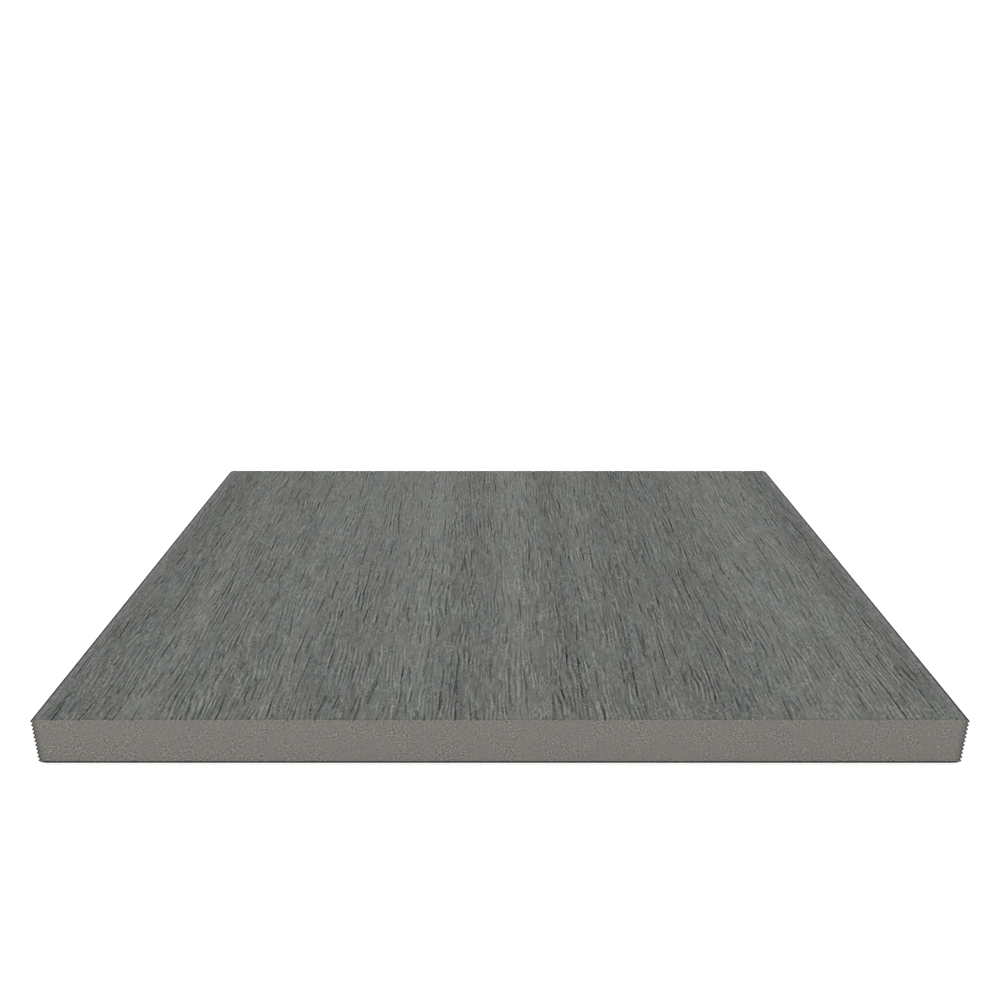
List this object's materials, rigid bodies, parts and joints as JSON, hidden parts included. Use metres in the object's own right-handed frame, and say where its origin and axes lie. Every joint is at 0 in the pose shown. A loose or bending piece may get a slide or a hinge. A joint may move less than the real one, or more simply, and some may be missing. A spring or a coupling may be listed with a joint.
{
  "type": "composite fascia board",
  "caption": "Grey composite fascia board cut to a short length, with an embossed wood-grain face, eased corners, finely ribbed long edges and a plain back",
  "frame": {"origin": "middle of the back face, at the bottom of the board as it lies", "axes": "+Z leaves the embossed face; +Y runs along the grain and the ribbed edges; +X runs across the width of the board"},
  "size_m": [0.2858, 0.2286, 0.0159],
  "materials": {
    "grey_composite": "matt grey wood-plastic composite, embossed along the grain, with a warmer and finely speckled sawn end"
  },
  "bodies": {
    "root": {"fascia_board": "grey_composite"}
  },
  "joints": []
}
